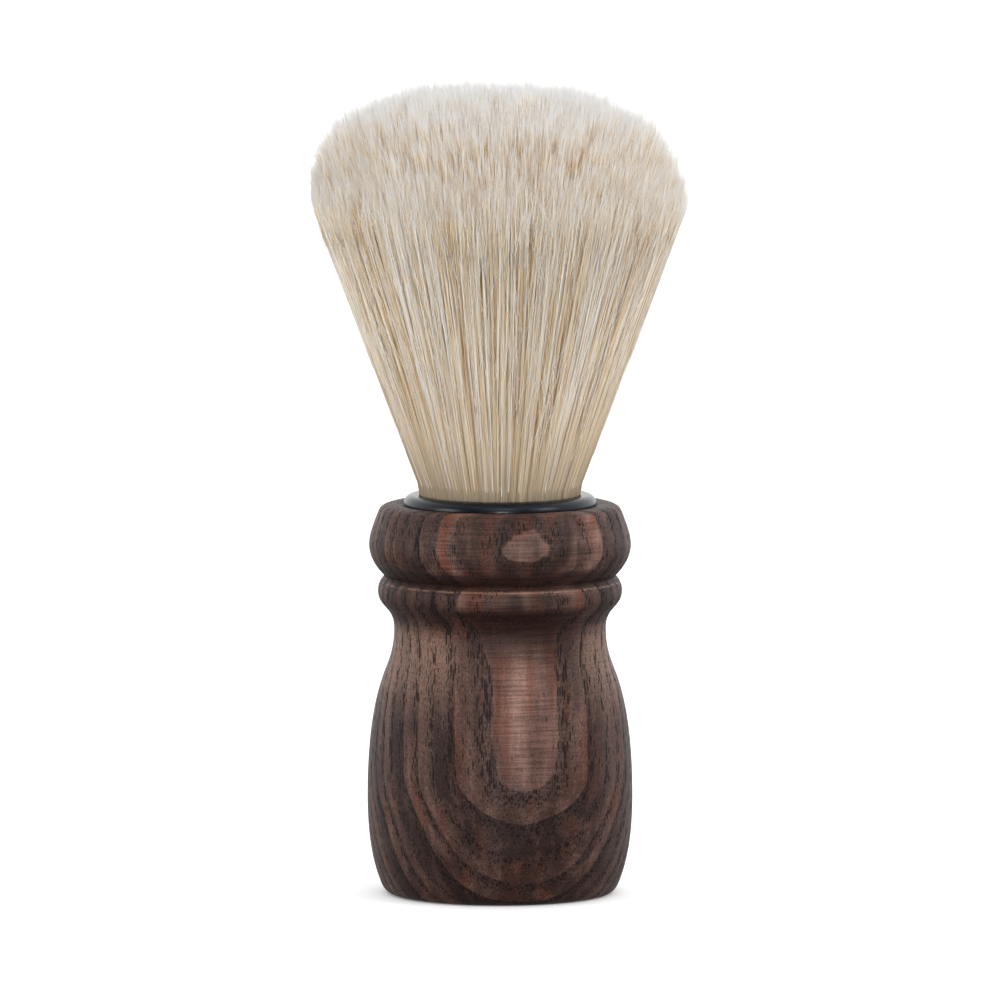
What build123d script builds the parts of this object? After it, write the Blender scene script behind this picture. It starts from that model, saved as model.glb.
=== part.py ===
"""Shaving brush: a turned wooden handle with a glued-in knot of natural bristle.

Millimetres, +Z up. The origin is the centre of the flat base that the brush stands on.
Every piece is a body of revolution about Z, drawn as a half outline (radius, height) on the
XZ plane. Neighbouring pieces meet face to face.
"""

import os
from math import sqrt

from build123d import *

os.makedirs("parts", exist_ok=True)

# Handle: radii of the turned outline and their heights above the base
BASE_RADIUS = 14.9
BASE_EDGE_RADIUS = 17.0
BASE_EDGE_HEIGHT = 1.7
BELLY_RADIUS = 18.85
BELLY_HEIGHT = 14.8
FLANK_RADIUS = 16.6
FLANK_HEIGHT = 31.2
WAIST_RADIUS = 15.05
WAIST_HEIGHT = 37.9
COVE_RADIUS = 15.8
COVE_HEIGHT = 40.4
SMALL_BEAD_RADIUS = 17.35
SMALL_BEAD_HEIGHT = 43.3
GROOVE_RADIUS = 16.4
GROOVE_HEIGHT = 45.4
LARGE_BEAD_RADIUS = 18.6
LARGE_BEAD_HEIGHT = 50.1
SHOULDER_RADIUS = 17.5
SHOULDER_HEIGHT = 54.0
CREST_RADIUS = 14.7
CREST_HEIGHT = 55.65

# Cup: lip on the wood, barrel in the socket
KNOT_RADIUS = 11.0
LIP_RADIUS = 13.7
LIP_TOP = 56.95
LIP_OUTER_ROUNDING = 1.3
LIP_INNER_ROUNDING = 0.15
SEAT_HEIGHT = 55.4
CUP_WALL = 1.2
CUP_FLOOR = 1.2
CUP_BOTTOM = 43.6

# Knot: straight flared sides, then a rounded edge and a low dome of tips
KNOT_SLOPE = 0.372
KNOT_SIDE_TOP = 98.6
KNOT_EDGE_RADIUS = 25.3
KNOT_EDGE_HEIGHT = 104.4
KNOT_CROWN_RADIUS = 21.8
KNOT_CROWN_HEIGHT = 110.1
KNOT_DOME_RADIUS = 16.0
KNOT_DOME_HEIGHT = 113.3
KNOT_TIP_HEIGHT = 115.3

# Adhesive: thickness round the barrel and under the cup
ADHESIVE_SIDE = 0.3
ADHESIVE_UNDER = 0.6

# Roots: bound with thread and cast in resin inside the cup
ROOT_RADIUS = 10.2
ROOT_ABOVE_CUP_FLOOR = 1.0
RESIN_DEPTH = 8.0
THREAD_RADIUS = 0.3
THREAD_PITCH = 0.7
THREAD_TURNS = 6
THREAD_ABOVE_ROOT_END = 2.0

# Bending: the upper bristles swing on a ball-shaped face about a point in the cup's mouth
FLEX_PIVOT_HEIGHT = 58.0
FLEX_BALL_RADIUS = 18.0
FLEX_GAP = 0.3

BARREL_RADIUS = KNOT_RADIUS + CUP_WALL
SOCKET_RADIUS = BARREL_RADIUS + ADHESIVE_SIDE
SOCKET_BOTTOM = CUP_BOTTOM - ADHESIVE_UNDER
CUP_INSIDE_BOTTOM = CUP_BOTTOM + CUP_FLOOR
ROOT_BOTTOM = CUP_INSIDE_BOTTOM + ROOT_ABOVE_CUP_FLOOR
RESIN_TOP = CUP_INSIDE_BOTTOM + RESIN_DEPTH


def knot_side(height):
    """Point on the knot's straight flared side at a height above the base."""
    return (KNOT_RADIUS + KNOT_SLOPE * (height - LIP_TOP), height)


def side_on_ball(ball_radius):
    """Point where the knot's side meets a ball about the flex pivot."""
    radius_at_pivot, _ = knot_side(FLEX_PIVOT_HEIGHT)
    a = 1 + KNOT_SLOPE**2
    b = 2 * KNOT_SLOPE * radius_at_pivot
    c = radius_at_pivot**2 - ball_radius**2
    rise = (sqrt(b**2 - 4 * a * c) - b) / (2 * a)
    return knot_side(FLEX_PIVOT_HEIGHT + rise)


def ball_top(ball_radius):
    """Highest point of a ball about the flex pivot."""
    return (0, FLEX_PIVOT_HEIGHT + ball_radius)


def finish(piece, name):
    """Label a finished piece and write it as one STEP file."""
    piece.part.label = name
    export_step(piece.part, f"parts/{name}.step")


# Handle: the outside from the base up, then the blind socket for the cup
with BuildPart() as handle_body:
    with BuildSketch(Plane.XZ):
        with BuildLine():
            Line((0, 0), (BASE_RADIUS, 0))
            Spline(
                (BASE_RADIUS, 0),
                (BASE_EDGE_RADIUS, BASE_EDGE_HEIGHT),
                tangents=((1, 0), (0.4, 1)),
            )
            Spline(
                (BASE_EDGE_RADIUS, BASE_EDGE_HEIGHT),
                (BELLY_RADIUS, BELLY_HEIGHT),
                (FLANK_RADIUS, FLANK_HEIGHT),
                (WAIST_RADIUS, WAIST_HEIGHT),
                tangents=((0.4, 1), (0, 1)),
            )
            Spline(
                (WAIST_RADIUS, WAIST_HEIGHT),
                (COVE_RADIUS, COVE_HEIGHT),
                (SMALL_BEAD_RADIUS, SMALL_BEAD_HEIGHT),
                tangents=((0, 1), (0, 1)),
            )
            Spline(
                (SMALL_BEAD_RADIUS, SMALL_BEAD_HEIGHT),
                (GROOVE_RADIUS, GROOVE_HEIGHT),
                tangents=((0, 1), (-1, 1)),
            )
            Spline(
                (GROOVE_RADIUS, GROOVE_HEIGHT),
                (LARGE_BEAD_RADIUS, LARGE_BEAD_HEIGHT),
                (SHOULDER_RADIUS, SHOULDER_HEIGHT),
                (CREST_RADIUS, CREST_HEIGHT),
                tangents=((1, 1), (-1, 0)),
            )
            Line((CREST_RADIUS, CREST_HEIGHT), (LIP_RADIUS, SEAT_HEIGHT))
            Line((LIP_RADIUS, SEAT_HEIGHT), (0, SEAT_HEIGHT))
            Line((0, SEAT_HEIGHT), (0, 0))
        make_face()
    revolve(axis=Axis.Z)
    with Locations((0, 0, SOCKET_BOTTOM)):
        Cylinder(
            SOCKET_RADIUS,
            SEAT_HEIGHT - SOCKET_BOTTOM,
            align=(Align.CENTER, Align.CENTER, Align.MIN),
            mode=Mode.SUBTRACT,
        )
finish(handle_body, "handle_body")

# Adhesive: a thin cup-shaped bed that fills the socket round and under the barrel
with BuildPart() as adhesive_bed:
    with BuildSketch(Plane.XZ):
        with BuildLine():
            Polyline(
                (0, SOCKET_BOTTOM),
                (SOCKET_RADIUS, SOCKET_BOTTOM),
                (SOCKET_RADIUS, SEAT_HEIGHT),
                (BARREL_RADIUS, SEAT_HEIGHT),
                (BARREL_RADIUS, CUP_BOTTOM),
                (0, CUP_BOTTOM),
                close=True,
            )
        make_face()
    revolve(axis=Axis.Z)
finish(adhesive_bed, "adhesive_bed")

# Cup: barrel, floor and a lip that rests on the wood, its outer edge well rounded
with BuildPart() as knot_cup:
    with BuildSketch(Plane.XZ) as cup_outline:
        with BuildLine():
            Polyline(
                (0, CUP_BOTTOM),
                (BARREL_RADIUS, CUP_BOTTOM),
                (BARREL_RADIUS, SEAT_HEIGHT),
                (LIP_RADIUS, SEAT_HEIGHT),
                (LIP_RADIUS, LIP_TOP),
                (KNOT_RADIUS, LIP_TOP),
                (KNOT_RADIUS, CUP_INSIDE_BOTTOM),
                (0, CUP_INSIDE_BOTTOM),
                close=True,
            )
        make_face()
        lip_outer_corner = cup_outline.vertices().group_by(Axis.Y)[-1].sort_by(Axis.X)[-1]
        fillet(lip_outer_corner, LIP_OUTER_ROUNDING)
        lip_inner_corner = cup_outline.vertices().group_by(Axis.Y)[-1].sort_by(Axis.X)[0]
        fillet(lip_inner_corner, LIP_INNER_ROUNDING)
    revolve(axis=Axis.Z)
finish(knot_cup, "knot_cup")

# Binding thread: turns wound tightly, half sunk into the roots
with BuildPart() as binding_thread:
    with BuildSketch(Plane.XZ):
        for turn in range(THREAD_TURNS):
            with Locations((ROOT_RADIUS, ROOT_BOTTOM + THREAD_ABOVE_ROOT_END + turn * THREAD_PITCH)):
                Circle(THREAD_RADIUS)
    revolve(axis=Axis.Z)
finish(binding_thread, "binding_thread")

# Resin: a pad under the roots and a thin jacket round them, up to part of the cup's depth
with BuildPart() as resin_plug:
    with BuildSketch(Plane.XZ):
        with BuildLine():
            Polyline(
                (0, CUP_INSIDE_BOTTOM),
                (KNOT_RADIUS, CUP_INSIDE_BOTTOM),
                (KNOT_RADIUS, RESIN_TOP),
                (ROOT_RADIUS, RESIN_TOP),
                (ROOT_RADIUS, ROOT_BOTTOM),
                (0, ROOT_BOTTOM),
                close=True,
            )
        make_face()
    revolve(axis=Axis.Z)
    add(binding_thread.part, mode=Mode.SUBTRACT)
finish(resin_plug, "resin_plug")

# Roots: the held length of the bristles, from the resin to a ball-shaped top above the cup
with BuildPart() as bristle_root:
    root_rim = side_on_ball(FLEX_BALL_RADIUS - FLEX_GAP)
    with BuildSketch(Plane.XZ):
        with BuildLine():
            Polyline(
                ball_top(FLEX_BALL_RADIUS - FLEX_GAP),
                (0, ROOT_BOTTOM),
                (ROOT_RADIUS, ROOT_BOTTOM),
                (ROOT_RADIUS, RESIN_TOP),
                (KNOT_RADIUS, LIP_TOP),
                root_rim,
            )
            RadiusArc(root_rim, ball_top(FLEX_BALL_RADIUS - FLEX_GAP), -(FLEX_BALL_RADIUS - FLEX_GAP))
        make_face()
    revolve(axis=Axis.Z)
    add(binding_thread.part, mode=Mode.SUBTRACT)
finish(bristle_root, "bristle_root")

# Tuft: the upper length of the bristles, hollow below to swing on the roots' ball-shaped top
with BuildPart() as bristle_tuft:
    tuft_rim = side_on_ball(FLEX_BALL_RADIUS)
    with BuildSketch(Plane.XZ):
        with BuildLine():
            RadiusArc(tuft_rim, ball_top(FLEX_BALL_RADIUS), -FLEX_BALL_RADIUS)
            Line(tuft_rim, knot_side(KNOT_SIDE_TOP))
            Spline(
                knot_side(KNOT_SIDE_TOP),
                (KNOT_EDGE_RADIUS, KNOT_EDGE_HEIGHT),
                (KNOT_CROWN_RADIUS, KNOT_CROWN_HEIGHT),
                (KNOT_DOME_RADIUS, KNOT_DOME_HEIGHT),
                (0, KNOT_TIP_HEIGHT),
                tangents=((KNOT_SLOPE, 1), (-1, 0)),
            )
            Line((0, KNOT_TIP_HEIGHT), ball_top(FLEX_BALL_RADIUS))
        make_face()
    revolve(axis=Axis.Z)
finish(bristle_tuft, "bristle_tuft")
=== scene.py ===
"""Shaving brush: dark turned ash handle, black knot cup and a flared knot of natural bristle.

The handle and the cup are the frame's own pieces with new materials. The bristles are single
strands, which replace the two plain solids that stand for them in the frame. Lengths here are
in millimetres unless a name says otherwise, and meshes are scaled to metres when they are made.
"""

import math

import bpy
import numpy as np
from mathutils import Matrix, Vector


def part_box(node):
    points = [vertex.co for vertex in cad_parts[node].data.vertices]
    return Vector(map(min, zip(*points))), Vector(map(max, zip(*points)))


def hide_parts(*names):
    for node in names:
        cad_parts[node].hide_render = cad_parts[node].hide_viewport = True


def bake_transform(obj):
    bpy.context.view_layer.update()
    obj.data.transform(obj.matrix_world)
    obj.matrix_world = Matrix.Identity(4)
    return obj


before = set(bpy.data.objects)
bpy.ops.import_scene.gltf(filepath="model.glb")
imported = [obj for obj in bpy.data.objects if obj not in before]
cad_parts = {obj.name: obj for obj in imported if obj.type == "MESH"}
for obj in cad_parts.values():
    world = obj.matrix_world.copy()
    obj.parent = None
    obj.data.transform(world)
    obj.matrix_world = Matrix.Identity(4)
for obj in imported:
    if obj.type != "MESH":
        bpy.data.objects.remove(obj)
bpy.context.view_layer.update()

MM = 0.001
rng = np.random.default_rng(8)

# Knot, from the frame: the cup's mouth, the straight flared side and the dome of tips
_, CUP_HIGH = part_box("knot_cup")
ROOT_LOW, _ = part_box("bristle_root")
_, TUFT_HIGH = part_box("bristle_tuft")
MOUTH_HEIGHT = CUP_HIGH[2] / MM
ROOT_END_HEIGHT = ROOT_LOW[2] / MM
KNOT_TOP = TUFT_HIGH[2] / MM
MOUTH_RADIUS = 11.0
BOUND_RADIUS = 10.2
KNOT_SLOPE = 0.372
SIDE_TOP = 98.6

# Growth layers of the wood, as dishes about an upright line in front of the handle
LAYER_THICKNESS = 2.478
FIRST_LAYER_DEPTH = -10.4
DISH_MIDDLE = 22.0
DISH_CURVE = 0.0052
GRAIN_TURN_HEIGHT = 55.65
GRAIN_CURVE = 0.00434
# Slow waves of the grain along the handle: (height of the middle, half length, depth)
GRAIN_WAVES = [(17.0, 6.5, -0.95), (28.0, 6.0, 0.35), (37.0, 6.0, -0.60)]
# The layers lean back up the large bead: heights where the lean starts and is full, the height
# where it changes nothing, and its slope
BEAD_LEAN_START = 40.0
BEAD_LEAN_FULL = 46.0
BEAD_LEAN_LEVEL = 51.2
BEAD_LEAN_SLOPE = 0.16

# Heights on the handle: each band's start, where it is full from and to, and its end
# Painted shade: darker bands in the cove, in the groove under the large bead and over the small bead
COVE_PAINTED_SHADE = (32.0, 38.5, 41.2, 43.2)
GROOVE_PAINTED_SHADE = (44.7, 45.0, 46.6, 47.8)
SMALL_BEAD_PAINTED_SHADE = (41.0, 42.5, 44.2, 44.8)
# Painted light: a paler band on the neck
NECK_PAINTED_LIGHT = (24.0, 36.0, 37.0, 40.0)
# Height of a painted highlight line round the small bead's upper edge
PAINTED_HIGHLIGHT_HEIGHT = 44.6

# Kinds of strand: (name, count, inner and outer share of the knot's radius, rings, width)
OUTER_SHARE = 0.84
STRAND_KINDS = [
    ("outer", 15000, OUTER_SHARE, 1.0, 10, 0.15),
    ("inner", 20000, 0.0, OUTER_SHARE, 5, 0.12),
]
SECTORS = 6
# Where strands start: outer ones below the cup's mouth, inner ones below the dome of tips
OUTER_START_DEPTH = 3.6
INNER_START_DEPTH = 16.0
# Spread of roots about the places of their tips, as a share of the knot's radius
ROOT_CROSSING = 0.035
# Strands that end short of the dome: their share, and the mean gap of theirs and of the others
SHORT_STRANDS = 0.42
SHORT_GAP = 5.5
USUAL_GAP = 0.9
TALLER_LEFT_SIDE = 1.5
# Strands that wander: their share, and how far they and the others sway at the tip
STRAY_STRANDS = 0.08
STRAY_SWAY = 1.8
USUAL_SWAY = 0.6
# Tufts: how many, and how far strands are pulled to the middle of theirs, 0 to 1
LARGE_TUFTS = 300
LARGE_TUFT_PULL = 0.14
SMALL_TUFTS = 2600
SMALL_TUFT_PULL = 0.50
# Split tips: how many leave each strand, lengths, spread and widths from base to end
TIPS_PER_STRAND = 2
TIP_LENGTHS = (5.0, 9.0)
TIP_SPREAD = 0.32
TIP_WIDTHS = (0.055, 0.05, 0.04, 0.0)
# Loose hairs on the side: how many, rings, width, lengths, and where they start above the mouth
LOOSE_HAIRS = 1100
LOOSE_RINGS = 7
LOOSE_WIDTH = 0.095
LOOSE_LENGTHS = (5.0, 20.0)
LOOSE_START = 4.0
LOOSE_START_RANGE = 36.0
# Core: its columns of ribs and its gap under the tips
CORE_COLUMNS = 360
CORE_UNDER_TIPS = 5.0

# Tones of the strands, 0 dark to 1 pale: the middle, the share of dark ones, how much darker they
# are, and the length over which they come back to the others near the knot's edge
MIDDLE_TONE = 0.54
DARK_STRANDS = 0.16
DARK_STRAND_TONE = 0.7
DARK_FADE_END = SIDE_TOP + 4.0
DARK_FADE_LENGTH = 14.0
# Painted shading by depth in the knot: the tone added at shares of the knot's radius, darker inside as
# painted shade and paler at the edge as painted light, and the part that shows along a tip
PAINTED_SHADING_SHARES = (OUTER_SHARE, 0.91, 0.96, 1.0)
PAINTED_SHADING_TONES = (-0.46, -0.30, 0.00, 0.16)
TIP_PAINTED_SHADING = (0.55, 0.45, 0.25, 0.0)
# Strands change colour over this length, and their UVs keep clear of the edges of the square
COLOUR_LENGTH = 62.0
UV_LOW, UV_HIGH = 0.004, 0.996

# Studio: names that end in _M and the sizes of lights are in metres
AIM_M = (0.0, 0.0, 0.06)
KNOT_MIDDLE_M = (0.0, 0.0, 0.098)
CAMERA_AIM_M = (0.0, 0.0, 0.0561)
CAMERA_DISTANCE_M = 2.2
CAMERA_ELEVATION = math.radians(5.9)
SEEN_WIDTH_M = 0.142
SENSOR_WIDTH = 36.0
STUDIO_LIGHT = 1.6
FRONT_LIGHT = 0.14
BELOW_LIGHT = 0.25
PANEL = {"shape": "RECTANGLE", "size": 0.5, "size_y": 0.5}
STRIP = {"shape": "RECTANGLE", "size": 0.7, "size_y": 0.15}
# Lights: (name, kind, place in metres, the point it faces, strength in watts or, for the sun,
# watts per square metre, shape)
LIGHTS = [
    ("top", "SUN", (0.05, -0.7, 1.3), AIM_M, 0.5, {"angle": math.radians(60.0)}),
    ("front", "AREA", (0.06, -0.9, 0.75), AIM_M, 2.0, STRIP),
    ("glint", "AREA", (0.06, -1.2, 0.15), AIM_M, 2.2, {"shape": "DISK", "size": 0.24}),
    ("left", "AREA", (-1.1, -0.5, 0.25), AIM_M, 4.6, PANEL),
    ("right", "AREA", (0.95, -0.55, 0.60), AIM_M, 4.4, PANEL),
    (
        "knot",
        "SPOT",
        (0.1, -1.6, 0.05),
        KNOT_MIDDLE_M,
        250.0,
        {"spot_size": math.radians(3.0), "spot_blend": 0.5, "shadow_soft_size": 0.1},
    ),
]


# ---------------------------------------------------------------- shader helpers


class Graph:
    """A node tree of a material or a world, with short calls that each return an output socket."""

    def __init__(self, owner):
        owner.use_nodes = True
        self.owner = owner
        self.tree = owner.node_tree

    def node(self, kind, inputs=None, **settings):
        """A new node: settings are its properties, inputs its sockets by name or number."""
        node = self.tree.nodes.new(kind)
        for name, value in settings.items():
            setattr(node, name, value)
        for key, value in (inputs or {}).items():
            self.feed(node.inputs[key], value)
        return node

    def feed(self, socket, value):
        """Link an output socket to an input, or set the input's constant."""
        if isinstance(value, bpy.types.NodeSocket):
            self.tree.links.new(value, socket)
        else:
            socket.default_value = value

    def math(self, operation, a, b=0.0, c=0.0):
        return self.node("ShaderNodeMath", {0: a, 1: b, 2: c}, operation=operation).outputs[0]

    def stretch(self, vector, scale):
        """A vector multiplied by a scale for each axis."""
        return self.node("ShaderNodeVectorMath", {0: vector, 1: scale}, operation="MULTIPLY").outputs[0]

    def scale(self, colour, factor):
        """A colour multiplied by one factor."""
        return self.node("ShaderNodeVectorMath", {0: colour, 3: factor}, operation="SCALE").outputs[0]

    def step(self, value, low, high, to_low=0.0, to_high=1.0):
        """A smooth step of value from low to high."""
        inputs = {
            "Value": value,
            "From Min": low,
            "From Max": high,
            "To Min": to_low,
            "To Max": to_high,
        }
        return self.node("ShaderNodeMapRange", inputs, interpolation_type="SMOOTHSTEP").outputs[0]

    def fall(self, value, low, high):
        """1 below low, smoothly down to 0 above high."""
        return self.step(value, low, high, 1.0, 0.0)

    def band(self, value, start, full_from, full_to, end):
        """0 outside start and end, smoothly up to 1 from full_from to full_to."""
        return self.math("MULTIPLY", self.step(value, start, full_from), self.fall(value, full_to, end))

    def noise(self, vector, scale, detail=2.0, roughness=0.5):
        inputs = {"Vector": vector, "Scale": scale, "Detail": detail, "Roughness": roughness}
        return self.node("ShaderNodeTexNoise", inputs).outputs["Fac"]

    def cells(self, vector):
        """Distance to the nearest of scattered points, one in each unit cell, and its random number."""
        node = self.node("ShaderNodeTexVoronoi", {"Vector": vector, "Scale": 1.0})
        channels = self.node("ShaderNodeSeparateColor", {0: node.outputs["Color"]}).outputs
        return node.outputs["Distance"], channels[0]

    def mix(self, factor, a, b):
        """A colour between a and b."""
        return self.node("ShaderNodeMix", {0: factor, 6: a, 7: b}, data_type="RGBA").outputs[2]

    def ramp(self, factor, stops):
        """A colour ramp through (position, colour) stops."""
        node = self.node("ShaderNodeValToRGB", {"Fac": factor})
        elements = node.color_ramp.elements
        for _ in stops[2:]:
            elements.new(0.5)
        for element, (position, colour) in zip(elements, stops):
            element.position = position
            element.color = colour
        return node.outputs["Color"]

    def bump(self, height, distance, strength=1.0):
        inputs = {"Height": height, "Distance": distance, "Strength": strength}
        return self.node("ShaderNodeBump", inputs).outputs["Normal"]

    def surface(self, **sockets):
        """Feed the Principled shader; underscores in the names stand for spaces."""
        for name, value in sockets.items():
            self.feed(self.tree.nodes["Principled BSDF"].inputs[name.replace("_", " ")], value)
        return self.owner


def new_material(name):
    return Graph(bpy.data.materials.new(name))


def rgb(red, green, blue):
    """A display colour, 0 to 255, as a linear shader colour."""
    linear = []
    for channel in (red, green, blue):
        value = channel / 255
        linear.append(value / 12.92 if value < 0.04045 else ((value + 0.055) / 1.055) ** 2.4)
    return (*linear, 1.0)


# ---------------------------------------------------------------- wood


def growth_layers(g, position):
    """Place along the grain (across, depth through the layers, height) and the count of layers.

    The layers are shallow dishes, nearly square to the view from the front, and they lean along
    the grain, so the turned shape cuts them into ovals and tall arches.
    """
    x, y, z = g.node("ShaderNodeSeparateXYZ", {0: position}).outputs
    across = g.math("SUBTRACT", x, DISH_MIDDLE)
    dished = g.math("MULTIPLY", g.math("MULTIPLY", across, across), DISH_CURVE)
    up = g.math("SUBTRACT", z, GRAIN_TURN_HEIGHT)
    leaning = g.math("MULTIPLY", g.math("MULTIPLY", up, up), GRAIN_CURVE)
    wander = g.noise(g.stretch(position, (0.12, 0.12, 0.06)), 1.0, 1.0)
    ragged = g.noise(g.stretch(position, (1.1, 1.1, 0.3)), 1.0, 2.0)
    wander_mm = g.math("MULTIPLY_ADD", wander, 0.9, g.math("MULTIPLY", ragged, 0.3))
    depth = g.math("ADD", y, g.math("ADD", dished, leaning))
    depth = g.math("ADD", depth, wander_mm)
    for middle, half_length, amount in GRAIN_WAVES:
        away = g.math("ABSOLUTE", g.math("SUBTRACT", z, middle))
        depth = g.math("ADD", depth, g.step(away, 0.0, half_length, amount, 0.0))
    below_level = g.math("SUBTRACT", BEAD_LEAN_LEVEL, g.math("MAXIMUM", z, BEAD_LEAN_FULL))
    bead_lean = g.math("MULTIPLY", below_level, g.step(z, BEAD_LEAN_START, BEAD_LEAN_FULL))
    depth = g.math("MULTIPLY_ADD", bead_lean, BEAD_LEAN_SLOPE, depth)
    counted = g.math("DIVIDE", g.math("SUBTRACT", depth, FIRST_LAYER_DEPTH), LAYER_THICKNESS)
    along_grain = g.node("ShaderNodeCombineXYZ", {0: x, 1: depth, 2: z}).outputs[0]
    return along_grain, counted


def wood_pores(g, along_grain, early, behind_front):
    """Open vessels along the grain: crowded in early wood and at the sides, few in smooth wood."""
    crowd = g.noise(g.stretch(along_grain, (0.7, 0.7, 0.2)), 1.0, 2.0)
    distance, pick = g.cells(g.stretch(along_grain, (2.9, 2.9, 0.46)))
    size = g.math("MULTIPLY_ADD", early, 0.28, g.math("MULTIPLY_ADD", crowd, 0.40, -0.32))
    size = g.math("MULTIPLY_ADD", behind_front, 0.12, size)
    size = g.math("MULTIPLY_ADD", pick, 0.28, size)
    wide = g.fall(g.math("SUBTRACT", distance, size), -0.03, 0.03)
    distance, pick = g.cells(g.stretch(along_grain, (5.0, 5.0, 1.2)))
    size = g.math("MULTIPLY_ADD", early, 0.26, g.math("MULTIPLY", pick, 0.24))
    fine = g.fall(g.math("SUBTRACT", distance, size), -0.05, 0.05)
    return g.math("MAXIMUM", g.math("MULTIPLY", wide, 0.95), g.math("MULTIPLY", fine, 0.6))


def layer_colour(g, along_grain, counted, streak, early, behind_front):
    """Red-brown late wood, greyer early wood, red and dark patches, and poor years, one in three."""
    late_stops = [(0.3, rgb(86, 61, 54)), (0.5, rgb(110, 82, 73)), (0.7, rgb(132, 102, 90))]
    early_stops = [(0.3, rgb(66, 50, 46)), (0.7, rgb(96, 75, 69))]
    colour = g.mix(early, g.ramp(streak, late_stops), g.ramp(streak, early_stops))

    red_patch = g.noise(g.stretch(along_grain, (0.5, 0.3, 0.07)), 1.0, 3.0)
    red_share = g.step(red_patch, 0.46, 0.64, 0.0, 0.65)
    red_share = g.math("MULTIPLY", red_share, g.step(counted, -2.1, -1.9, 0.3, 1.0))
    colour = g.mix(red_share, colour, rgb(106, 60, 42))
    grey_front_layer = g.step(counted, -2.1, -1.9, 0.45, 0.0)
    colour = g.mix(grey_front_layer, colour, rgb(76, 66, 64))

    third = g.math("FRACT", g.math("DIVIDE", counted, 3.0))
    poor_year = g.band(third, 0.334, 0.345, 0.668, 0.680)
    poor_share = g.math("MULTIPLY_ADD", behind_front, -0.26, 0.54)
    patch = g.noise(g.stretch(along_grain, (0.35, 0.35, 0.07)), 1.0, 3.0)
    darkness = g.math("MULTIPLY_ADD", behind_front, 0.48, g.step(patch, 0.40, 0.62, 0.0, 0.36))
    darkness = g.math("MULTIPLY_ADD", poor_year, poor_share, darkness)
    return g.mix(darkness, colour, rgb(46, 32, 29))


def painted_shade_and_light(g, colour, height_mm, counted, streak, behind_front):
    """Painted shade in the cove, in the groove and over the small bead, painted light on the neck and a
    painted highlight line along the small bead's upper edge.
    """
    # Painted shade in the hollows, strongest at the front, in a dark brown
    in_front = g.math("MULTIPLY_ADD", behind_front, -0.6, 1.0)
    cove = g.math("MULTIPLY", g.band(height_mm, *COVE_PAINTED_SHADE), in_front)
    painted_shade_amount = g.math("MULTIPLY", cove, 0.95)
    painted_shade_amount = g.math("MAXIMUM", painted_shade_amount, g.math("MULTIPLY", g.band(height_mm, *GROOVE_PAINTED_SHADE), 0.85))
    painted_shade_amount = g.math("MAXIMUM", painted_shade_amount, g.math("MULTIPLY", g.band(height_mm, *SMALL_BEAD_PAINTED_SHADE), 0.22))
    colour = g.mix(painted_shade_amount, colour, rgb(40, 24, 20))

    # Painted light: the neck made paler
    neck_painted_light = g.math("MULTIPLY", g.band(height_mm, *NECK_PAINTED_LIGHT), g.step(counted, 0.3, 1.8, 0.0, 0.44))
    colour = g.mix(neck_painted_light, colour, rgb(150, 118, 102))

    # Painted highlight: a thin pale line round the small bead's upper edge, broken by the streaks
    edge_gap = g.math("ABSOLUTE", g.math("SUBTRACT", height_mm, PAINTED_HIGHLIGHT_HEIGHT))
    rubbing_and_highlight = g.step(edge_gap, 0.04, 0.18, 0.28, 0.0)
    rubbing_and_highlight = g.math("MULTIPLY", rubbing_and_highlight, g.step(streak, 0.35, 0.6, 0.3, 1.0))
    return g.mix(rubbing_and_highlight, colour, rgb(176, 134, 112))


def turned_surface(g, colour, position, turning, pores, behind_front):
    """Turning rings, clearest on the smooth late wood, over grain, dark pores and pale specks painted
    as glints.
    """
    grain = g.noise(g.stretch(position, (5.5, 5.5, 3.0)), 1.0, 2.0, 0.6)
    line_share = g.math("MULTIPLY_ADD", behind_front, -0.45, 0.70)
    lines = g.math("MULTIPLY", turning, line_share)
    mottle = g.math("ADD", lines, g.math("MULTIPLY", grain, g.math("SUBTRACT", 1.0, line_share)))
    colour = g.scale(colour, g.step(mottle, 0.36, 0.64, 0.62, 1.40))
    colour = g.mix(g.math("MULTIPLY", pores, 0.88), colour, rgb(20, 14, 13))
    # Painted glints: sparse pale specks
    distance, pick = g.cells(g.stretch(position, (2.6, 2.6, 2.6)))
    painted_glint = g.math("MULTIPLY", g.fall(distance, 0.10, 0.18), g.step(pick, 0.72, 0.76))
    return g.mix(g.math("MULTIPLY", painted_glint, 0.5), colour, rgb(150, 122, 104))


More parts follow.
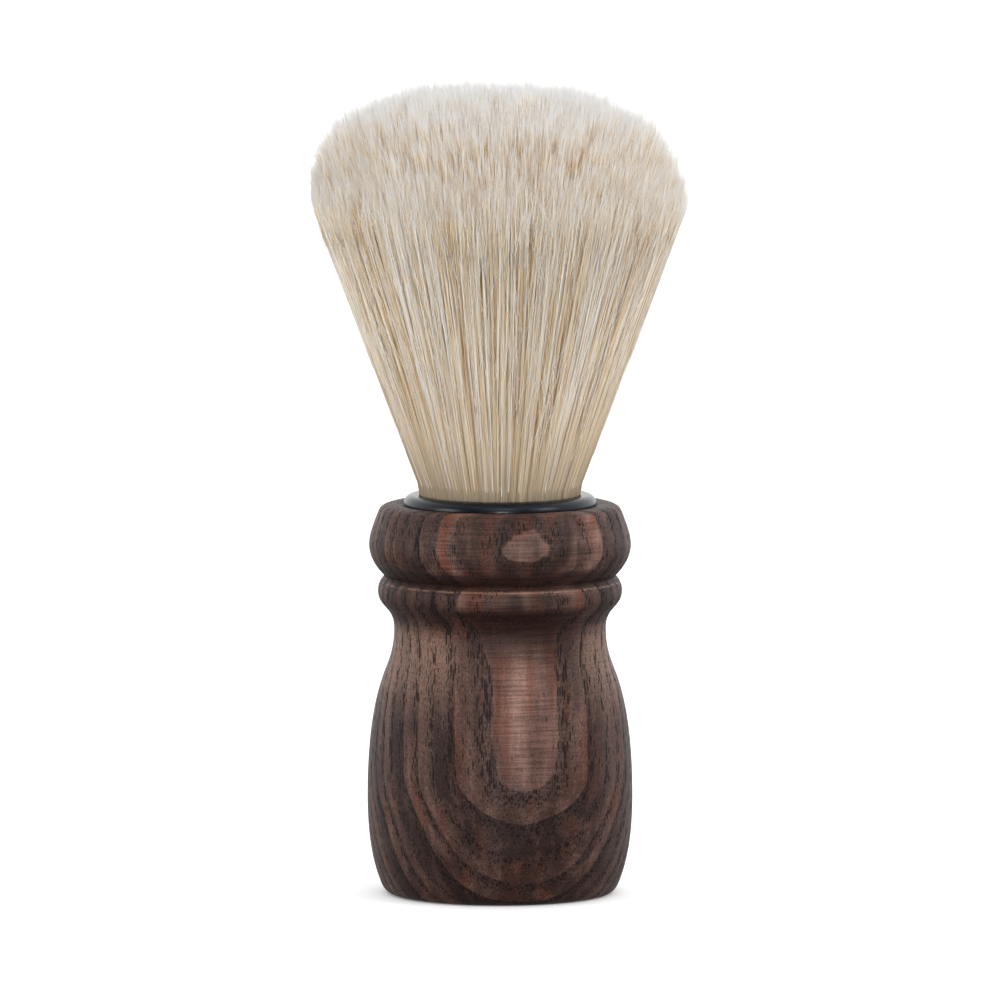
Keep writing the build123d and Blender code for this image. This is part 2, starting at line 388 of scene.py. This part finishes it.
def wood_material():
    """Dark ash: growth layers, open pores, red and grey patches and fine turning lines."""
    g = new_material("dark_ash")
    position = g.stretch(g.node("ShaderNodeTexCoord").outputs["Object"], (1 / MM, 1 / MM, 1 / MM))
    height_mm = g.node("ShaderNodeSeparateXYZ", {0: position}).outputs[2]
    along_grain, counted = growth_layers(g, position)
    early = g.band(g.math("FRACT", counted), 0.0, 0.04, 0.10, 0.70)
    behind_front = g.step(counted, -0.2, 0.4)
    pores = wood_pores(g, along_grain, early, behind_front)
    streak = g.noise(g.stretch(along_grain, (0.5, 0.5, 0.06)), 1.0, 4.0, 0.6)
    turning = g.noise(g.stretch(position, (0.11, 0.11, 3.4)), 1.0, 3.0, 0.75)
    fibre = g.noise(g.stretch(along_grain, (7.0, 7.0, 0.5)), 1.0, 2.0, 0.6)

    colour = layer_colour(g, along_grain, counted, streak, early, behind_front)
    # Painted shade in the hollows, painted light on the neck and a painted highlight line on the small
    # bead
    colour = painted_shade_and_light(g, colour, height_mm, counted, streak, behind_front)
    colour = turned_surface(g, colour, position, turning, pores, behind_front)

    # Height: pores are sunk, turning leaves faint rings, fibres run up the grain
    height = g.math("MULTIPLY_ADD", turning, 0.12, g.math("MULTIPLY", fibre, 0.22))
    height = g.math("MULTIPLY_ADD", pores, -1.0, height)
    roughness = g.math("MULTIPLY_ADD", pores, 0.25, g.math("MULTIPLY_ADD", fibre, 0.15, 0.42))
    return g.surface(
        Base_Color=colour,
        Roughness=roughness,
        Normal=g.bump(height, 0.00012, 0.9),
        Specular_IOR_Level=0.14,
    )


# ---------------------------------------------------------------- moulded and cast parts


def cup_material():
    """Moulded black plastic with a faint flow mottle and very fine rubbing marks."""
    g = new_material("black_cup")
    position = g.node("ShaderNodeTexCoord").outputs["Object"]
    mottle = g.noise(position, 400.0, 3.0)
    rubbing_and_highlight = g.noise(g.stretch(position, (900.0, 900.0, 5000.0)), 1.0, 2.0, 0.6)
    colour = g.ramp(mottle, [(0.3, rgb(6, 10, 18)), (0.7, rgb(12, 18, 30))])
    roughness = g.math("MULTIPLY_ADD", rubbing_and_highlight, 0.10, 0.21)
    return g.surface(
        Base_Color=colour,
        Roughness=roughness,
        Normal=g.bump(rubbing_and_highlight, 0.00001, 0.5),
        Specular_IOR_Level=0.22,
    )


def cast_material(name, pale, deep, bubble_scale):
    """Cured resin or adhesive: cloudy amber with small bubbles."""
    g = new_material(name)
    position = g.node("ShaderNodeTexCoord").outputs["Object"]
    cloud = g.noise(position, bubble_scale, 3.0)
    bubbles, _ = g.cells(g.stretch(position, (bubble_scale * 4,) * 3))
    colour = g.ramp(cloud, [(0.3, deep), (0.7, pale)])
    colour = g.mix(g.step(bubbles, 0.14, 0.22, 0.5, 0.0), colour, pale)
    return g.surface(
        Base_Color=colour,
        Roughness=g.math("MULTIPLY_ADD", cloud, 0.2, 0.15),
        Normal=g.bump(g.step(bubbles, 0.1, 0.25), 0.00005, 0.5),
    )


def thread_material():
    """Waxed twine: pale, with the slanting twist of its plies."""
    g = new_material("twine")
    position = g.node("ShaderNodeTexCoord").outputs["Object"]
    axes = g.node("ShaderNodeSeparateXYZ", {0: position}).outputs
    turn = g.math("ARCTAN2", axes[1], axes[0])
    twist = g.math("SINE", g.math("MULTIPLY_ADD", turn, 90.0, g.math("MULTIPLY", axes[2], 9000.0)))
    fuzz = g.noise(position, 3000.0, 2.0)
    shade = g.math("MULTIPLY_ADD", twist, 0.25, fuzz)
    colour = g.ramp(shade, [(0.2, rgb(150, 138, 116)), (0.8, rgb(222, 212, 192))])
    return g.surface(Base_Color=colour, Roughness=0.7, Normal=g.bump(twist, 0.00006, 0.8))


def bristle_material():
    """Natural bristle, bleached at the tip, with painted shade deepening down the strands towards the
    cup.

    A strand's UV holds its tone across, with painted shading for its depth in the knot. Its height
    along is 1 at a bleached tip and falls to 0 over the colour length below it.
    """
    g = new_material("bristle")
    uv = g.node("ShaderNodeUVMap", uv_map="OFBake").outputs["UV"]
    tone, along = g.node("ShaderNodeSeparateXYZ", {0: uv}).outputs[:2]
    shaft = g.ramp(
        tone,
        [
            (0.0, rgb(186, 146, 98)),
            (0.25, rgb(230, 205, 164)),
            (0.5, rgb(246, 233, 209)),
            (0.75, rgb(250, 242, 231)),
            (1.0, rgb(254, 251, 246)),
        ],
    )
    mottled = g.noise(g.stretch(uv, (90.0, 9.0, 1.0)), 1.0, 3.0)
    shaft = g.mix(g.step(mottled, 0.42, 0.70, 0.0, 0.35), shaft, rgb(238, 212, 162))
    # Painted shade: the strands darken towards the cup, most just above its mouth
    shaft = g.mix(g.step(along, 0.40, 0.75, 0.42, 0.0), shaft, rgb(198, 171, 138))
    shaft = g.mix(g.step(along, 0.27, 0.45, 0.80, 0.0), shaft, rgb(148, 133, 110))
    tip = g.ramp(tone, [(0.0, rgb(230, 229, 227)), (1.0, rgb(246, 246, 246))])
    bleached = g.math("MULTIPLY_ADD", mottled, 0.06, g.math("SUBTRACT", along, 0.03))
    colour = g.mix(g.step(bleached, 0.94, 0.983), shaft, tip)
    roughness = g.step(tone, 0.0, 1.0, 0.42, 0.6)
    return g.surface(Base_Color=colour, Roughness=roughness, Specular_IOR_Level=0.25)


# ---------------------------------------------------------------- bristles


def side_radius(height):
    """Radius of the knot's straight side at a height, narrowing to the bound roots in the cup."""
    in_cup = np.clip((height - ROOT_END_HEIGHT) / (MOUTH_HEIGHT - ROOT_END_HEIGHT), 0.0, 1.0)
    flare = KNOT_SLOPE * np.maximum(height - MOUTH_HEIGHT, 0.0)
    return BOUND_RADIUS + (MOUTH_RADIUS - BOUND_RADIUS) * in_cup + flare


def dome_curve():
    """The dome of tips as (share of the side radius, height), read from the frame's tuft."""
    points = np.array([v.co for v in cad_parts["bristle_tuft"].data.vertices]) / MM
    points = points[points[:, 2] > SIDE_TOP]
    share = np.hypot(points[:, 0], points[:, 1]) / side_radius(points[:, 2])
    order = np.argsort(share)
    return share[order], points[order, 2]


DOME_SHARES, DOME_HEIGHTS = dome_curve()


def tip_height(share):
    """Height where a strand at this share of the side radius meets the dome of tips."""
    return np.interp(share, DOME_SHARES, DOME_HEIGHTS)


def nearest(points, centres):
    """For each point, the number of the centre nearest to it."""
    found = np.empty(len(points), dtype=int)
    block_size = 2000
    for start in range(0, len(points), block_size):
        block = points[start : start + block_size]
        gaps = ((block[:, None, :] - centres[None, :, :]) ** 2).sum(axis=2)
        found[start : start + block_size] = gaps.argmin(axis=1)
    return found


def disc_points(count, inner, outer):
    """Random points, even over the ring of the unit disc between two radii."""
    radius = np.sqrt(rng.uniform(inner**2, outer**2, count))
    turn = rng.uniform(0.0, 2 * math.pi, count)
    return np.column_stack([radius * np.cos(turn), radius * np.sin(turn)])


def tube_points(paths, widths):
    """Points of three-sided tubes round paths, each ending in a single point."""
    along = np.gradient(paths, axis=1)
    along /= np.linalg.norm(along, axis=2, keepdims=True)
    never_along = np.array([0.31, 0.17, 0.05])
    side = np.cross(along, never_along)
    side /= np.linalg.norm(side, axis=2, keepdims=True)
    other = np.cross(along, side)
    spin = rng.uniform(0.0, 2 * math.pi, (len(paths), 1, 1))
    corners = []
    for corner in range(3):
        turn = spin + corner * 2 * math.pi / 3
        corners.append(paths + widths[:, :, None] / 2 * (np.cos(turn) * side + np.sin(turn) * other))
    walls = np.stack(corners, axis=2)[:, :-1].reshape(len(paths), -1, 3)
    return np.concatenate([walls, paths[:, -1:]], axis=1)


def tube_faces(rings):
    """Faces of one tube by the numbers of its points: an end cap, walls and the tip."""
    faces = [(2, 1, 0)]
    for ring in range(rings - 2):
        low, high = 3 * ring, 3 * ring + 3
        for corner in range(3):
            following = (corner + 1) % 3
            faces.append((low + corner, low + following, high + following, high + corner))
    last = 3 * (rings - 2)
    for corner in range(3):
        faces.append((last + corner, last + (corner + 1) % 3, last + 3))
    return faces


def on_points(values):
    """A number for each ring of each path, as one for each point of its tube."""
    return np.concatenate([np.repeat(values[:, :-1], 3, axis=1), values[:, -1:]], axis=1)


def strand_mesh(name, paths, widths, tones, material, unbleached=0.0):
    """Closed three-sided tapering tubes along paths, each ending in a point, as one mesh.

    tones holds one number for each ring of each strand, and unbleached is the length missing
    from the pale end of each strand.
    """
    count, rings = paths.shape[:2]
    points = tube_points(paths, widths)
    faces = tube_faces(rings)
    pattern = np.concatenate([np.array(face) for face in faces])
    sizes = np.array([len(face) for face in faces])
    per_strand = points.shape[1]
    loops = (pattern[None, :] + per_strand * np.arange(count)[:, None]).ravel()
    starts = np.concatenate([[0], np.cumsum(np.tile(sizes, count))[:-1]])
    heights = on_points(paths[:, :, 2])
    from_tip = heights[:, -1:] - heights + np.broadcast_to(unbleached, count)[:, None]
    uv = np.stack([on_points(tones), 1.0 - from_tip / COLOUR_LENGTH], axis=2)
    uv = np.clip(uv.reshape(-1, 2)[loops], UV_LOW, UV_HIGH)

    mesh = bpy.data.meshes.new(name)
    mesh.vertices.add(count * per_strand)
    mesh.vertices.foreach_set("co", (points * MM).astype(np.float32).ravel())
    mesh.loops.add(len(loops))
    mesh.loops.foreach_set("vertex_index", loops.astype(np.int32))
    mesh.polygons.add(len(starts))
    mesh.polygons.foreach_set("loop_start", starts.astype(np.int32))
    mesh.uv_layers.new(name="OFBake").data.foreach_set("uv", uv.astype(np.float32).ravel())
    mesh.update(calc_edges=True)
    mesh.shade_smooth()
    return place(name, mesh, material)


def place(name, mesh, material):
    """Put a bristle mesh in the scene with its material."""
    piece = bpy.data.objects.new(name, mesh)
    bpy.context.collection.objects.link(piece)
    mesh.materials.append(material)
    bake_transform(piece)
    return piece


def strand_paths(roots, lengths, lowest, rings, gather, sway):
    """Paths up the knot for strands whose tips are set out at points of the unit disc.

    lengths moves each tip up or down, gather pulls strands to the middle of their tufts, and sway
    is how far a strand wanders from its straight line at the tip. Strands cross: a root is a
    little way from the place on the disc where its tip ends.
    """
    share = np.hypot(roots[:, 0], roots[:, 1])
    top = tip_height(np.minimum(share, 1.0)) + lengths
    fraction = np.linspace(0.0, 1.0, rings)[None, :]
    height = lowest[:, None] + (top - lowest)[:, None] * fraction
    rise = np.clip((height - MOUTH_HEIGHT) / (KNOT_TOP - MOUTH_HEIGHT), 0.0, 1.0)
    crossing = rng.normal(0.0, ROOT_CROSSING, (len(roots), 1, 2))
    place_on_disc = roots[:, None, :] + crossing * (1.0 - rise)[:, :, None]
    for pull, full in gather:
        place_on_disc = place_on_disc + pull[:, None, :] * (full * rise**0.8)[:, :, None]
    phase = rng.uniform(0.0, 2 * math.pi, (len(roots), 1, 2))
    wave = np.sin(phase + rise[:, :, None] * rng.uniform(1.5, 5.0, (len(roots), 1, 2)))
    drift = (wave - np.sin(phase)) * sway[:, None, None] * rise[:, :, None]
    flat = place_on_disc * side_radius(height)[:, :, None] + drift
    reach = np.linalg.norm(flat, axis=2, keepdims=True)
    limit = side_radius(np.minimum(height, SIDE_TOP - 0.6)) + 0.4 * rise
    flat = flat * np.minimum(1.0, limit[:, :, None] / reach)
    flat[:, :, 0] -= 0.3 * rise**2
    return np.concatenate([flat, height[:, :, None]], axis=2)


def split_tips(name, paths, tones, painted_shading, unbleached, material):
    """Fine branches that leave each strand near its tip."""
    paths, tones, painted_shading, unbleached = (
        np.repeat(values, TIPS_PER_STRAND, axis=0) for values in (paths, tones, painted_shading, unbleached)
    )
    lengths = rng.uniform(*TIP_LENGTHS, len(paths))
    end = paths[:, -1]
    direction = paths[:, -1] - paths[:, -2]
    direction /= np.linalg.norm(direction, axis=1, keepdims=True)
    base = end - direction * lengths[:, None]
    away = rng.normal(0.0, TIP_SPREAD, (len(paths), 3)) * rng.uniform(0.3, 2.2, (len(paths), 1))
    away[:, 2] = rng.normal(0.2, 0.45, len(paths))
    fraction = np.linspace(0.0, 1.0, len(TIP_WIDTHS))[None, :, None]
    branch = base[:, None] + (end - base)[:, None] * fraction + away[:, None] * fraction**1.6
    widths = np.repeat(np.array([TIP_WIDTHS]), len(paths), axis=0)
    # Painted shade on the split tips of strands deep in the knot
    shade = painted_shading[:, None] * np.array(TIP_PAINTED_SHADING)
    tones = np.clip(tones[:, None] + shade, 0.0, 1.0)
    return strand_mesh(name, branch, widths, tones, material, unbleached)


def tones_up_strands(paths, tones, dark, painted_shading):
    """Tone at each ring: painted shading by depth in the knot shows up to near the tip, dark strands
    pale over the knot's edge.
    """
    below_tip = np.clip(np.linspace(8.0, 0.0, paths.shape[1]), 0.0, 1.0)
    low_down = np.clip((DARK_FADE_END - paths[:, :, 2]) / DARK_FADE_LENGTH, 0.0, 1.0)
    shaded = tones[:, None] + painted_shading[:, None] * below_tip[None, :] - dark[:, None] * low_down
    return np.clip(shaded, 0.0, 1.0)


def make_bristles(material):
    """The standing strands and their split tips, in sectors round the knot."""
    large = disc_points(LARGE_TUFTS, 0.0, 1.0)
    small = disc_points(SMALL_TUFTS, 0.0, 1.0)
    large_length = rng.normal(0.0, 0.25, LARGE_TUFTS)
    large_tone = rng.normal(0.0, 0.05, LARGE_TUFTS)
    small_tone = rng.normal(0.0, 0.08, SMALL_TUFTS)
    small_length = rng.normal(0.0, 0.42, SMALL_TUFTS)
    for kind, count, inner, outer, rings, width in STRAND_KINDS:
        roots = disc_points(count, inner, outer)
        share = np.hypot(roots[:, 0], roots[:, 1])
        near_large = nearest(roots, large)
        near_small = nearest(roots, small)

        # Lengths: many strands end short of the dome, and the left side stands a little taller
        lengths = large_length[near_large] + small_length[near_small]
        lengths -= rng.exponential(np.where(rng.random(count) < SHORT_STRANDS, SHORT_GAP, USUAL_GAP))
        lengths += TALLER_LEFT_SIDE * np.maximum(-roots[:, 0], 0.0)

        # Tones: each strand's own, some much darker, and painted shading: golden shade inside the knot
        # and painted light at its edge
        tones = large_tone[near_large] + small_tone[near_small] + rng.normal(0.0, 0.25, count)
        dark = DARK_STRAND_TONE * (rng.random(count) < DARK_STRANDS)
        tones = np.clip(MIDDLE_TONE + tones, 0.0, 1.0)
        painted_shading = np.interp(share, PAINTED_SHADING_SHARES, PAINTED_SHADING_TONES)
        unbleached = np.interp(share, [0.4, 0.95], [0.0, 1.0])

        stray = rng.random(count) < STRAY_STRANDS
        sway = np.where(stray, STRAY_SWAY, USUAL_SWAY) * rng.uniform(0.3, 1.0, count)
        gather = [
            (large[near_large] - roots, LARGE_TUFT_PULL),
            (small[near_small] - roots, SMALL_TUFT_PULL),
        ]
        if kind == "outer":
            lowest = np.full(count, MOUTH_HEIGHT - OUTER_START_DEPTH)
        else:
            lowest = tip_height(share) - INNER_START_DEPTH
        paths = strand_paths(roots, lengths, lowest, rings, gather, sway)
        ring_tones = tones_up_strands(paths, tones, dark, painted_shading)
        taper = np.concatenate([np.linspace(1.05, 0.9, rings - 1), [0.0]])
        widths = width * taper[None, :] * rng.uniform(0.55, 1.45, (count, 1))

        turn = np.arctan2(roots[:, 1], roots[:, 0]) / (2 * math.pi) + 0.5
        sector = (turn * SECTORS).astype(int) % SECTORS
        for number in range(SECTORS):
            here = sector == number
            label = f"{kind}_{number + 1}"
            strand_mesh(
                f"bristles_{label}",
                paths[here],
                widths[here],
                ring_tones[here],
                material,
                unbleached[here],
            )
            split_tips(
                f"split_tips_{label}",
                paths[here],
                tones[here],
                painted_shading[here],
                unbleached[here],
                material,
            )


def make_loose_hairs(material):
    """Fine pale hairs that lie across the others on the knot's side, at odd angles."""
    fraction = np.linspace(0.0, 1.0, LOOSE_RINGS)[None, :]
    length = rng.uniform(*LOOSE_LENGTHS, (LOOSE_HAIRS, 1))
    up_side = rng.uniform(0.0, 1.0, (LOOSE_HAIRS, 1)) ** 0.7
    start = MOUTH_HEIGHT + LOOSE_START + LOOSE_START_RANGE * up_side
    lean = np.radians(rng.normal(0.0, 9.0, (LOOSE_HAIRS, 1)))
    curl = np.radians(rng.normal(0.0, 10.0, (LOOSE_HAIRS, 1)))
    length = np.minimum(length, SIDE_TOP + rng.uniform(0.0, 5.0, (LOOSE_HAIRS, 1)) - start)
    height = start + length * fraction
    radius = side_radius(np.minimum(height, SIDE_TOP)) + rng.uniform(0.0, 0.35, (LOOSE_HAIRS, 1))
    aside = length * fraction * np.tan(lean + curl * fraction)
    turn = rng.uniform(0.0, 2 * math.pi, (LOOSE_HAIRS, 1)) + aside / radius
    paths = np.stack([radius * np.cos(turn), radius * np.sin(turn), height], axis=2)
    widths = LOOSE_WIDTH * np.concatenate([np.linspace(1.0, 0.6, LOOSE_RINGS - 1), [0.0]])[None, :]
    widths = np.repeat(widths, LOOSE_HAIRS, axis=0)
    tones = np.repeat(rng.uniform(0.6, 1.0, (LOOSE_HAIRS, 1)), LOOSE_RINGS, axis=1)
    return strand_mesh("loose_hairs", paths, widths, tones, material)


def make_core(material):
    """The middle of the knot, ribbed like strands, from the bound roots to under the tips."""
    columns = CORE_COLUMNS
    side_levels = np.linspace(ROOT_END_HEIGHT, SIDE_TOP - 6.0, 12)
    shares = np.linspace(OUTER_SHARE - 0.04, 0.0, 14)
    rib = 1.0 + rng.normal(0.0, 0.006, columns)
    # Painted shade: the core's columns take dark tones for the shade deep between strands
    column_shade_tone = rng.uniform(0.0, 0.35, columns)
    turn = np.linspace(0.0, 2 * math.pi, columns, endpoint=False)
    rows = []
    for height in side_levels:
        share = np.interp(height, [MOUTH_HEIGHT, MOUTH_HEIGHT + 6.0], [0.99, shares[0]])
        rows.append((share * side_radius(height), height))
    for share in shares[1:-1]:
        height = tip_height(share) - CORE_UNDER_TIPS
        rows.append((share * side_radius(height), height))
    points = []
    for radius, height in rows:
        for i in range(columns):
            ribbed = radius * rib[i]
            points.append((ribbed * math.cos(turn[i]), ribbed * math.sin(turn[i]), height))
    points.append((0.0, 0.0, rows[0][1]))
    points.append((0.0, 0.0, tip_height(0.0) - CORE_UNDER_TIPS))
    bottom, top = len(points) - 2, len(points) - 1
    faces = []
    for row in range(len(rows) - 1):
        for i in range(columns):
            j = (i + 1) % columns
            low, high = row * columns, (row + 1) * columns
            faces.append((low + i, low + j, high + j, high + i))
    last = (len(rows) - 1) * columns
    for i in range(columns):
        j = (i + 1) % columns
        faces.append((j, i, bottom))
        faces.append((last + i, last + j, top))
    mesh = bpy.data.meshes.new("bristle_core")
    mesh.from_pydata((np.array(points) * MM).tolist(), [], faces)
    layer = mesh.uv_layers.new(name="OFBake")
    heights = np.array(points)[:, 2]
    tones = np.append(np.tile(column_shade_tone, len(rows)), [0.2, 0.2])
    index = np.empty(len(mesh.loops), dtype=np.int32)
    mesh.loops.foreach_get("vertex_index", index)
    # Kept low along, so the core also takes the painted shade of the strands' lower part
    along = np.clip(1.0 - (KNOT_TOP - heights) / COLOUR_LENGTH, UV_LOW, 0.6)
    uv = np.column_stack([np.clip(tones, UV_LOW, UV_HIGH)[index], along[index]])
    layer.data.foreach_set("uv", uv.astype(np.float32).ravel())
    mesh.shade_smooth()
    return place("bristle_core", mesh, material)


# ---------------------------------------------------------------- studio


def make_floor():
    """A wide pale floor."""
    half_m = 30.0
    corners = [(-half_m, -half_m, 0), (half_m, -half_m, 0), (half_m, half_m, 0), (-half_m, half_m, 0)]
    mesh = bpy.data.meshes.new("floor")
    mesh.from_pydata(corners, [], [(0, 1, 2, 3)])
    floor = bpy.data.objects.new("floor", mesh)
    bpy.context.collection.objects.link(floor)
    g = new_material("floor_paper")
    position = g.node("ShaderNodeTexCoord").outputs["Object"]
    tooth = g.noise(position, 900.0, 2.0)
    colour = g.ramp(tooth, [(0.0, rgb(244, 244, 244)), (1.0, rgb(248, 248, 248))])
    mesh.materials.append(
        g.surface(
            Base_Color=colour,
            Roughness=0.9,
            Specular_IOR_Level=0.1,
            Emission_Color=(1.0, 1.0, 1.0, 1.0),
            Emission_Strength=0.12,
        )
    )
    floor.visible_diffuse = False
    floor.visible_glossy = False
    floor.visible_shadow = False


def make_light(name, kind, place_m, aim_m, strength, shape):
    """A soft light that faces a point, seen only by what it lights."""
    data = bpy.data.lights.new(name, kind)
    data.energy = strength
    for setting, value in shape.items():
        setattr(data, setting, value)
    light = bpy.data.objects.new(name, data)
    light.location = place_m
    light.visible_camera = False
    point_at(light, aim_m)
    bpy.context.collection.objects.link(light)


def point_at(thing, aim_m):
    """Turn a light or camera to face a point."""
    direction = np.array(aim_m) - np.array(thing.location)
    flat = math.hypot(direction[0], direction[1])
    thing.rotation_euler = (
        math.atan2(flat, -direction[2]),
        0.0,
        math.atan2(-direction[0], direction[1]),
    )


def make_world():
    """A white studio: bright above, behind and beside, dimmer in front and below, white to look at."""
    world = bpy.data.worlds.new("white_studio")
    g = Graph(world)
    direction = g.node("ShaderNodeTexCoord").outputs["Generated"]
    axes = g.node("ShaderNodeSeparateXYZ", {0: direction}).outputs
    backward = g.step(axes[1], -0.9, 0.5, FRONT_LIGHT, 1.0)
    upward = g.step(axes[2], -0.45, 0.15, BELOW_LIGHT, 1.0)
    lighting = g.math("MULTIPLY", g.math("MULTIPLY", backward, upward), STUDIO_LIGHT)
    seen = g.node("ShaderNodeLightPath").outputs["Is Camera Ray"]
    background = g.tree.nodes["Background"]
    background.inputs["Color"].default_value = (1.0, 1.0, 1.0, 1.0)
    unseen = g.math("SUBTRACT", 1.0, seen)
    g.feed(background.inputs["Strength"], g.math("MULTIPLY_ADD", unseen, lighting, seen))
    bpy.context.scene.world = world


def make_camera():
    """A long lens, a little above the brush."""
    data = bpy.data.cameras.new("camera")
    data.sensor_width = SENSOR_WIDTH
    data.lens = SENSOR_WIDTH * CAMERA_DISTANCE_M / SEEN_WIDTH_M
    camera = bpy.data.objects.new("camera", data)
    camera.location = (
        0.0,
        -CAMERA_DISTANCE_M * math.cos(CAMERA_ELEVATION),
        CAMERA_AIM_M[2] + CAMERA_DISTANCE_M * math.sin(CAMERA_ELEVATION),
    )
    point_at(camera, CAMERA_AIM_M)
    bpy.context.collection.objects.link(camera)
    bpy.context.scene.camera = camera


# ---------------------------------------------------------------- the scene


def dress(node, material):
    """Give a frame node a new material."""
    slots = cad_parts[node].data.materials
    slots.clear()
    slots.append(material)


dress("handle_body", wood_material())
dress("knot_cup", cup_material())
dress("adhesive_bed", cast_material("epoxy", rgb(222, 208, 160), rgb(190, 168, 112), 500.0))
dress("resin_plug", cast_material("cast_resin", rgb(186, 140, 78), rgb(140, 94, 44), 300.0))
dress("binding_thread", thread_material())

bristle = bristle_material()
make_bristles(bristle)
make_loose_hairs(bristle)
core = make_core(bristle)
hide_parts("bristle_root", "bristle_tuft")

make_floor()
make_world()
for light in LIGHTS:
    make_light(*light)
make_camera()
bpy.context.scene.view_settings.view_transform = "Standard"
